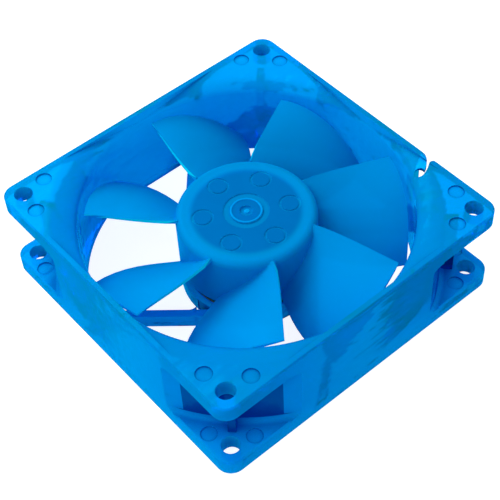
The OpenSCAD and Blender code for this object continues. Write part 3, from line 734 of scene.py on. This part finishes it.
def ease_edges(shape: Shape, width: float, sharp: float = CREASE, segments: int = 2) -> None:
    """Rounds the sharp edges, marks them in the attribute rim and smooths the rest.

    Args:
        shape: The shape to ease.
        width: How far the rounding reaches from each edge.
        sharp: The least angle between faces that counts as an edge.
        segments: Steps of the rounding.
    """
    rim = shape.faces.layers.float.get("rim") or shape.faces.layers.float.new("rim")
    hard = [e for e in shape.edges if e.is_manifold and e.calc_face_angle(0.0) > sharp]
    for face in bevel(shape, hard, width, segments, "EDGES")["faces"]:
        face[rim] = 1.0
    shade_smooth(shape, sharp)


def mark_crests(shape: Shape, reach: float, from_r: float) -> None:
    """Marks round thin edges, such as a blade's, in the attribute rim, for painted highlight.

    Args:
        shape: The shape, its other edges already eased.
        reach: How close the middles of two faces lie across such an edge.
        from_r: Distance from the fan's axis where the marks begin.
    """
    rim = shape.faces.layers.float["rim"]
    for edge in shape.edges:
        if edge.is_manifold and edge.calc_face_angle_signed(0.0) > CREST_ANGLE:
            one, other = (face.calc_center_median() for face in edge.link_faces)
            if (one - other).length < reach and min(one.xy.length, other.xy.length) > from_r:
                for face in edge.link_faces:
                    face[rim] = CREST_LIGHT


def turned(outline: list[Pair], rounds: list[float], steps: int = 96) -> Shape:
    """Turns a closed outline around the fan's axis.

    Args:
        outline: Corners of the outline, as radius and height.
        rounds: Rounding of each corner, or 0 where it stays sharp.
        steps: Segments of the turn.

    Returns:
        The turned shape, its normals outward.
    """
    shape = bmesh.new()
    corners = [shape.verts.new((radius, 0.0, height)) for radius, height in outline]
    shape.faces.new(corners)
    for corner, width in zip(corners, rounds, strict=True):
        if width > 0:
            bevel(shape, [corner], width, TURN_ROUNDS, "VERTICES")
    bmesh.ops.delete(shape, geom=shape.faces[:], context="FACES_ONLY")
    geom = shape.verts[:] + shape.edges[:]
    whole = {"angle": math.tau, "steps": steps, "use_merge": True}
    bmesh.ops.spin(shape, geom=geom, cent=(0.0, 0.0, 0.0), axis=(0.0, 0.0, 1.0), **whole)
    bmesh.ops.recalc_face_normals(shape, faces=shape.faces)
    shade_smooth(shape, CREASE)
    return shape


# Sub-assemblies


@dataclass
class Assembly:
    """Pieces that ride on one CAD body."""

    body: str = "frame"
    weld: float = 0.0005 * MM
    flat: float = math.radians(0.4)
    pieces: list[Piece] = field(default_factory=list)

    def keep(self, name: str, shape: Shape, finish: Finish, node: str = "") -> Piece:
        """Makes a piece from a finished shape, lets it ride on the body and reports it.

        Args:
            name: The piece's name.
            shape: Its shape, in the part's frame. It is freed.
            finish: What the piece is made of.
            node: The CAD node that it stands for. A piece that is only added has none.

        Returns:
            The new piece.
        """
        mesh = bpy.data.meshes.new(name)
        shape.to_mesh(mesh)
        shape.free()
        mesh.materials.append(finish.material())
        piece = bpy.data.objects.new(name, mesh)
        bpy.context.scene.collection.objects.link(piece)
        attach(piece, self.body)
        finish.slot or finish.name
        if node:
            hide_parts(node)
        self.pieces.append(piece)
        log.info("%s: %d faces, %s", name, len(mesh.polygons), finish.name)
        return piece

    def refine(self, node: str, finish: Finish, edge: float, crest: Pair = (0, 0)) -> Mesh:
        """Makes a piece from a CAD solid whose shape is right, with eased and shaded edges.

        Args:
            node: The CAD node that the piece stands for.
            finish: What the piece is made of.
            edge: How far the rounding of its edges reaches.
            crest: The reach of the marks on round thin edges, and where they begin.

        Returns:
            The finished piece's mesh.
        """
        shape = bmesh.new()
        shape.from_mesh(frame["nodes"][node].data)
        bmesh.ops.remove_doubles(shape, verts=shape.verts, dist=self.weld)
        flat = {"angle_limit": self.flat, "use_dissolve_boundaries": False}
        bmesh.ops.dissolve_limit(shape, verts=shape.verts, edges=shape.edges, **flat)
        ease_edges(shape, edge)
        if crest[0] > 0:
            mark_crests(shape, *crest)
        piece = self.keep(f"{node}_finished", shape, finish, node)
        # Wide faces set the shading, so that eased edges don't streak them
        weighted = piece.modifiers.new("even_normals", "WEIGHTED_NORMAL")
        weighted.mode = "FACE_AREA"
        weighted.weight = 50
        weighted.keep_sharp = True
        return piece.data


@dataclass
class Housing(Assembly):
    """The frame: flanges, duct, struts and motor base in one see-through moulding."""

    edge_round: float = 0.2 * MM
    mark_circle: float = 47.0 * MM
    mark_swing: float = math.radians(5.8)
    mark_reach: float = 2.1 * MM
    notch_eye: Pair = (35.34 * MM, -19.42 * MM)
    eye_reach: float = 1.5 * MM
    rear_flange_top: float = 4.4 * MM
    hole_reach: float = 2.5 * MM
    hole_wall_r: float = 2.3 * MM
    hole_wall_tilt: float = 0.9
    hole_light: float = 0.5
    front_flange_under: float = 20.6 * MM
    pocket_side: float = 38.5 * MM
    duct_r: float = 38.9 * MM
    wall_tilt: float = 0.3
    pocket_shade: float = 0.85

    def build(self) -> None:
        """Builds and dresses the frame."""
        mesh = self.refine("frame", HOUSING_BLUE, self.edge_round)
        self.shade_pockets(mesh)
        self.light_holes(mesh)

    def light_holes(self, mesh: Mesh) -> None:
        """Marks the walls of the screw holes for painted light: they take part of the paler rim colour,
        as light that the plastic around them carries.

        Args:
            mesh: The finished frame's mesh.
        """
        middle = abs(self.hole(1, 1, 0.0).x)
        rim = mesh.attributes["rim"].data
        for face in mesh.polygons:
            x, y, _ = face.center
            near = math.hypot(abs(x) - middle, abs(y) - middle) < self.hole_wall_r
            if near and abs(face.normal.z) < self.hole_wall_tilt:
                rim[face.index].value = self.hole_light

    def shade_pockets(self, mesh: Mesh) -> None:
        """Marks the walls deep between the flanges for painted shade, as hardly any light reaches them.

        Args:
            mesh: The finished frame's mesh.
        """
        pocket_shade_mask = mesh.attributes.new("pocket_shade_mask", "FLOAT", "FACE").data
        low, high = self.rear_flange_top, self.front_flange_under
        for face in mesh.polygons:
            x, y, z = face.center
            inside = max(abs(x), abs(y)) < self.pocket_side and math.hypot(x, y) > self.duct_r
            if inside and low < z < high and abs(face.normal.z) < self.wall_tilt:
                pocket_shade_mask[face.index].value = self.pocket_shade

    def hole(self, x_side: int, y_side: int, height: float) -> Vector:
        """Finds a screw hole, by the record's pitch.

        Args:
            x_side: 1 or -1, its side along x.
            y_side: 1 or -1, its side along y.
            height: The face that it opens in.

        Returns:
            The middle of the hole in that face.
        """
        mounts = frame["record"]["mounts"]
        pitch = next(m["dims"] for m in mounts if m["name"] == "front_holes")
        x, y = pitch["spacing_x_mm"] * MM / 2, pitch["spacing_y_mm"] * MM / 2
        return Vector((x_side * x, y_side * y, height))

    def mark(self, corner: float, side: int) -> Vector:
        """Finds an ejector mark on the front flange.

        Args:
            corner: Direction of its corner, in degrees.
            side: 1 or -1, the side of the screw hole that it is on.

        Returns:
            The middle of the mark.
        """
        turn = math.radians(corner) + side * self.mark_swing
        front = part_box("frame")[1].z
        return Vector((self.mark_circle * math.cos(turn), self.mark_circle * math.sin(turn), front))


@dataclass
class Rotor(Assembly):
    """Everything that turns: the impeller and what is pressed into it."""

    body: str = "rotor"
    impeller_edge: float = 0.26 * MM
    yoke_wall: float = 0.8 * MM
    yoke_corner: float = 2.4 * MM
    yoke_hole: float = 2.42 * MM
    yoke_lip: float = 0.25
    nub_r: float = 0.75 * MM
    nub_taper: float = 0.7
    nub_height: float = 0.35 * MM
    nub_lift: float = 0.4
    nub_edge: float = 0.08 * MM
    nub_sharp: float = math.radians(40)
    nub_reach: float = 2.0 * MM
    face_r: float = 12.6 * MM
    mark_light: float = 0.24
    blade_crest: float = 0.5 * MM
    blade_root: float = 17.0 * MM
    mark_least: float = 0.01 * MM
    mark_most: float = 0.6 * MM
    bead_r: float = 3.5 * MM
    bead_wide: float = 0.5 * MM
    bead_high: float = 0.18 * MM
    bead_round: float = 0.8

    def build(self, camera: PhotoCamera) -> None:
        """Builds and dresses the rotor.

        Args:
            camera: The camera that places the mark of the mould's gate.
        """
        crest = (self.blade_crest, self.blade_root)
        mesh = self.refine("impeller", IMPELLER_BLUE, self.impeller_edge, crest)
        self.refine("ring_magnet", MAGNET_RUBBER, edge=0.2 * MM)
        self.refine("shaft_boss", TURNED_BRASS, edge=0.12 * MM)
        self.refine("shaft", SHAFT_STEEL, edge=0.05 * MM)
        self.refine("retaining_ring", SPRING_STEEL, edge=0.05 * MM)
        self.refine("wear_washer", WHITE_NYLON, edge=0.06 * MM)
        self.light_marks(mesh)
        self.centre_ring()
        self.yoke()
        self.gate_nub(camera)

    def light_marks(self, mesh: Mesh) -> None:
        """Marks the shallow rings in the hub's face as rims, for painted highlight: they take part of
        the paler rim colour.

        Args:
            mesh: The finished impeller's mesh.
        """
        rim = mesh.attributes["rim"].data
        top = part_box("impeller")[1].z
        for face in mesh.polygons:
            x, y, z = face.center
            below = top - z
            if math.hypot(x, y) < self.face_r and self.mark_least < below < self.mark_most:
                rim[face.index].value = self.mark_light

    def centre_ring(self) -> None:
        """Builds the low bead around the middle of the hub's face."""
        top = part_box("impeller")[1].z
        inner, outer = self.bead_r - self.bead_wide / 2, self.bead_r + self.bead_wide / 2
        low, high = top - self.bead_high / 2, top + self.bead_high
        outline = [(outer, low), (outer, high), (inner, high), (inner, low)]
        rounding = self.bead_round * self.bead_high
        shape = turned(outline, [0.0, rounding, rounding, 0.0])
        self.keep("hub_bead", shape, GATE_BLUE)

    def yoke(self) -> None:
        """Builds the yoke as a drawn cup, with round corners and a flared mouth edge."""
        low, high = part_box("rotor_yoke")
        outer, wall, corner = high.x, self.yoke_wall, self.yoke_corner
        outside = [(outer, low.z), (outer, high.z), (self.yoke_hole, high.z)]
        inside = [(self.yoke_hole, high.z - wall), (outer - wall, high.z - wall), (outer - wall, low.z)]
        lip = self.yoke_lip * wall
        shape = turned(outside + inside, [lip, corner, 0.0, 0.0, corner - wall, lip])
        self.keep("drawn_yoke", shape, ZINC_STEEL, "rotor_yoke")

    def gate_nub(self, camera: PhotoCamera) -> None:
        """Builds the stub that the mould's gate leaves in the middle of the hub.

        Args:
            camera: The camera that gives its place on the hub.
        """
        place = camera.meet(POINT_HUB_GATE, self.pieces[0])
        shape = bmesh.new()
        wide, narrow = self.nub_r, self.nub_taper * self.nub_r
        size = {"radius1": wide, "radius2": narrow, "depth": self.nub_height}
        bmesh.ops.create_cone(shape, cap_ends=True, segments=32, **size)
        ease_edges(shape, self.nub_edge, self.nub_sharp, segments=3)
        place += Vector((0, 0, self.nub_lift * self.nub_height))
        bmesh.ops.translate(shape, verts=shape.verts, vec=place)
        self.keep("gate_nub", shape, GATE_BLUE)


@dataclass
class Bearing(Assembly):
    """The bearing cartridge in the collar of the motor base."""

    def build(self) -> None:
        """Builds and dresses the bearing."""
        self.refine("bearing_tube", TURNED_BRASS, edge=0.12 * MM)
        self.refine("sleeve_bearing", SINTERED_BRONZE, edge=0.06 * MM)
        self.refine("bearing_plug", BLACK_RUBBER, edge=0.25 * MM)
        self.refine("thrust_pad", WHITE_NYLON, edge=0.1 * MM)
        self.refine("oil_felt", OILED_FELT, edge=0.2 * MM)
        self.refine("tube_cap", WHITE_NYLON, edge=0.12 * MM)


@dataclass
class Stator(Assembly):
    """Laminated poles, their insulators, the four windings and the pins."""

    poles: int = 4
    wire: float = 0.34 * MM
    ridge_steps: int = 4
    corner: float = 1.5 * MM
    corner_steps: int = 6
    crease: float = math.radians(50)

    def build(self) -> None:
        """Builds and dresses the stator."""
        self.refine("stator_core", SILICON_STEEL, edge=0.04 * MM)
        self.refine("insulator_front", WHITE_NYLON, edge=0.1 * MM)
        self.refine("insulator_rear", WHITE_NYLON, edge=0.1 * MM)
        self.refine("terminal_pins", TINNED_METAL, edge=0.08 * MM)
        for index, letter in enumerate("abcd"):
            self.winding(index, letter)

    def pole_opening(self) -> Pair:
        """Measures the opening that a coil leaves for its pole.

        Returns:
            Half its width and height.
        """
        places = [v.co for v in frame["nodes"]["coil_a"].data.vertices]
        low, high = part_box("coil_a")
        middle = (low.z + high.z) / 2
        return min(abs(p.y) for p in places), min(abs(p.z - middle) for p in places)

    def loop(self, shape: Shape, x: float, half: Pair, corner: float) -> list[Edge]:
        """Adds a rounded rectangle across the first pole.

        Args:
            shape: The shape that takes it.
            x: Its distance from the fan's axis.
            half: Half its width and height.
            corner: The radius of its corners.

        Returns:
            Its edges.
        """
        made = bmesh.ops.create_grid(shape, x_segments=1, y_segments=1, size=1.0)["verts"]
        upright = Matrix.Rotation(math.pi / 2, 3, "Y")
        bmesh.ops.scale(shape, verts=made, vec=(half[1], half[0], 1.0))
        bmesh.ops.rotate(shape, verts=made, cent=(0.0, 0.0, 0.0), matrix=upright)
        bmesh.ops.translate(shape, verts=made, vec=(x, 0.0, 0.0))
        rounded = bevel(shape, made, corner, self.corner_steps, "VERTICES")
        sheet = rounded["verts"][0].link_faces[0]
        edges = sheet.edges[:]
        bmesh.ops.delete(shape, geom=[sheet], context="FACES_ONLY")
        return edges

    def carry(self, shape: Shape, rail: list[Edge], advance: float, grow: Pair) -> list[Edge]:
        """Extrudes a loop along the pole and changes its size.

        Args:
            shape: The shape.
            rail: The loop's edges.
            advance: How far it goes outward.
            grow: What its width and height are multiplied by.

        Returns:
            The new loop's edges.
        """
        made = bmesh.ops.extrude_edge_only(shape, edges=rail)["geom"]
        ends = {g for g in made if isinstance(g, bmesh.types.BMVert)}
        bmesh.ops.scale(shape, verts=list(ends), vec=(1.0, *grow))
        bmesh.ops.translate(shape, verts=list(ends), vec=(advance, 0.0, 0.0))
        return [g for g in made if isinstance(g, Edge) and set(g.verts) <= ends]

    def winding(self, index: int, letter: str) -> None:
        """Winds one coil around its pole, with a ridge for each turn of wire.

        Args:
            index: Which pole, counted from the x axis.
            letter: The letter of its CAD node.
        """
        low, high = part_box("coil_a")
        half = (high.y - self.wire / 2, (high.z - low.z - self.wire) / 2)
        turns = int((high.x - low.x) / self.wire)
        advance = (high.x - low.x) / turns / self.ridge_steps
        shape = bmesh.new()
        start = self.loop(shape, low.x, half, self.corner)
        rail, size = start, half
        for step in range(1, turns * self.ridge_steps + 1):
            rise = math.sin(math.pi * (step % self.ridge_steps) / self.ridge_steps) * self.wire / 2
            wanted = (half[0] + rise, half[1] + rise)
            rail = self.carry(shape, rail, advance, (wanted[0] / size[0], wanted[1] / size[1]))
            size = wanted
        inner_start = self.loop(shape, low.x, self.pole_opening(), self.wire / 2)
        inner_end = self.carry(shape, inner_start, high.x - low.x, (1.0, 1.0))
        bmesh.ops.bridge_loops(shape, edges=rail + inner_end)
        bmesh.ops.bridge_loops(shape, edges=start + inner_start)
        bmesh.ops.translate(shape, verts=shape.verts, vec=(0.0, 0.0, (low.z + high.z) / 2))
        turn = Matrix.Rotation(math.tau * index / self.poles, 3, "Z")
        bmesh.ops.rotate(shape, verts=shape.verts, cent=(0.0, 0.0, 0.0), matrix=turn)
        bmesh.ops.recalc_face_normals(shape, faces=shape.faces)
        shade_smooth(shape, self.crease)
        self.keep(f"winding_{letter}", shape, COPPER_WIRE, f"coil_{letter}")


@dataclass
class DriveBoard(Assembly):
    """The ring-shaped circuit board on its ledge, and the parts soldered to it."""

    def build(self) -> None:
        """Builds and dresses the board."""
        self.refine("circuit_board", BOARD_LAMINATE, edge=0.06 * MM)
        self.refine("hall_sensor", BLACK_EPOXY, edge=0.12 * MM)
        self.refine("driver_chip", BLACK_EPOXY, edge=0.08 * MM)
        self.refine("filter_capacitor", CAPACITOR_CAN, edge=0.2 * MM)
        self.refine("blocking_diode", DIODE_GLASS, edge=0.12 * MM)
        self.refine("chip_resistors", BLACK_EPOXY, edge=0.08 * MM)
        self.refine("lead_pads", TINNED_METAL, edge=0.2 * MM)


# Comparison with the photograph


@dataclass
class PointCheck:
    """Measures how far each thing shows from its image point."""

    camera: PhotoCamera
    found: dict[str, list[float]] = field(default_factory=dict)

    def edges(self, pieces: list[Piece]) -> None:
        """Compares the object's left, right, top and bottom, by its finished vertices.

        Args:
            pieces: The finished pieces.
        """
        shown = [self.camera.pixel(v.co) for piece in pieces for v in piece.data.vertices]
        across, down = zip(*shown)
        self.found |= {
            "left": [min(across) - POINT_LEFT_X, 0.0],
            "right": [max(across) - POINT_RIGHT_X, 0.0],
            "top": [0.0, min(down) - POINT_TOP_Y],
            "bottom": [0.0, max(down) - POINT_BOTTOM_Y],
        }

    def rim(self, name: str, point: Pair, mesh: Mesh, middle: Vector, reach: float) -> None:
        """Compares a round feature, by the finished vertices of its rim.

        Args:
            name: The feature's name.
            point: Its image point.
            mesh: The mesh that has it.
            middle: Its middle, in the part's frame.
            reach: A radius that takes in its rim only.
        """
        near = [v.co for v in mesh.vertices if (v.co - middle).length < reach]
        across, down = zip(*(self.camera.pixel(place) for place in near))
        x, y = (min(across) + max(across)) / 2, (min(down) + max(down)) / 2
        self.found[name] = [x - point[0], y - point[1]]

    def write(self) -> None:
        """Logs the largest difference, in pixels."""
        rounded = {name: [round(d, 2) for d in both] for name, both in self.found.items()}
        log.info("farthest from its point: %.1f px", max(abs(d) for b in rounded.values() for d in b))


def check_points(camera: PhotoCamera, housing: Housing, rotor: Rotor) -> None:
    """Compares all image points with the finished pieces.

    Args:
        camera: The camera.
        housing: The finished frame.
        rotor: The finished rotor.
    """
    check = PointCheck(camera)
    check.edges(housing.pieces + rotor.pieces)
    front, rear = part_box("frame")[1].z, housing.rear_flange_top
    hole, wide, mark = housing.hole, housing.hole_reach, housing.mark_reach
    features = {
        "hole_near": (POINT_HOLE_NEAR, hole(-1, -1, front), wide),
        "hole_right": (POINT_HOLE_RIGHT, hole(1, -1, front), wide),
        "hole_far": (POINT_HOLE_FAR, hole(1, 1, front), wide),
        "hole_left": (POINT_HOLE_LEFT, hole(-1, 1, front), wide),
        "rear_hole_near": (POINT_REAR_HOLE_NEAR, hole(-1, -1, rear), wide),
        "rear_hole_right": (POINT_REAR_HOLE_RIGHT, hole(1, -1, rear), wide),
        "rear_hole_left": (POINT_REAR_HOLE_LEFT, hole(-1, 1, rear), wide),
        "mark_right": (POINT_MARK_RIGHT, housing.mark(-45, -1), mark),
        "mark_near": (POINT_MARK_NEAR, housing.mark(-135, -1), mark),
        "notch_eye": (POINT_NOTCH_EYE, Vector((*housing.notch_eye, front)), housing.eye_reach),
    }
    for name, (point, middle, reach) in features.items():
        check.rim(name, point, housing.pieces[0].data, middle, reach)
    nub = rotor.pieces[-1].data
    check.rim("hub_gate", POINT_HUB_GATE, nub, middle_of(nub.vertices), rotor.nub_reach)
    check.write()


# Studio


@dataclass(frozen=True)
class Studio:
    """Pale floor, soft light and even white surroundings."""

    floor_size: float = 6.0
    floor_gap: float = 0.2 * MM
    floor_colour: Rgb = (0.4, 0.4, 0.4)
    floor_rough: float = 0.9
    floor_glow: float = 0.88
    sky: float = 0.6
    lamp_size: float = 0.3
    key_watts: float = 1.9
    key_place: Vector = Vector((-0.02, 0.32, 0.38))
    fill_watts: float = 0.8
    fill_place: Vector = Vector((-0.36, -0.06, 0.34))

    def build(self) -> None:
        """Makes the floor, the lights and the world."""
        self.floor()
        self.lamp("key", self.key_watts, self.key_place)
        self.lamp("fill", self.fill_watts, self.fill_place)
        self.world()

    def floor(self) -> None:
        """Makes the floor, whose own white shows to the camera and keeps the shadow."""
        shape = bmesh.new()
        bmesh.ops.create_grid(shape, x_segments=1, y_segments=1, size=self.floor_size / 2)
        mesh = bpy.data.meshes.new("floor")
        shape.to_mesh(mesh)
        shape.free()
        floor = bpy.data.objects.new("floor", mesh)
        floor.location.z = -self.floor_gap
        bpy.context.scene.collection.objects.link(floor)
        shader = Shader("floor_white")
        glow = shader.calc("MULTIPLY", shader.background_ray(), self.floor_glow)
        look = {"Base Color": rgba(self.floor_colour), "Roughness": self.floor_rough}
        look |= {"Specular IOR Level": 0.0, "Emission Color": WHITE, "Emission Strength": glow}
        shader.feed(shader.surface, look)
        mesh.materials.append(shader.material)

    def lamp(self, name: str, watts: float, place: Vector) -> None:
        """Makes a large soft lamp that looks at the part.

        Args:
            name: The lamp's name.
            watts: Its power.
            place: Where it stands.
        """
        data = bpy.data.lights.new(name, "AREA")
        data.energy = watts
        data.size = self.lamp_size
        lamp = bpy.data.objects.new(name, data)
        lamp.location = place
        lamp.rotation_mode = "QUATERNION"
        lamp.rotation_quaternion = (-place).to_track_quat("-Z", "Y")
        bpy.context.scene.collection.objects.link(lamp)

    def world(self) -> None:
        """Makes the even white surroundings."""
        world = bpy.data.worlds.new("studio")
        bpy.context.scene.world = world
        world.use_nodes = True
        nodes = Nodes(world.node_tree)
        limits = {"Value": nodes.background_ray(), "To Min": self.sky, "To Max": 1.0}
        light = nodes.add("MapRange", limits).outputs["Result"]
        nodes.feed(world.node_tree.nodes["Background"], {"Color": WHITE, "Strength": light})


# Making


def main() -> None:
    """Builds the scene in order."""
    logging.basicConfig(level=logging.INFO, format="%(name)s: %(message)s")
    bpy.context.scene.view_settings.view_transform = "Standard"
    camera = PhotoCamera()
    camera.build()
    Studio().build()
    housing, rotor = Housing(), Rotor()
    for assembly in (housing, Bearing(), Stator(), DriveBoard()):
        assembly.build()
    rotor.build(camera)
    check_points(camera, housing, rotor)


if __name__ == "__main__":
    main()
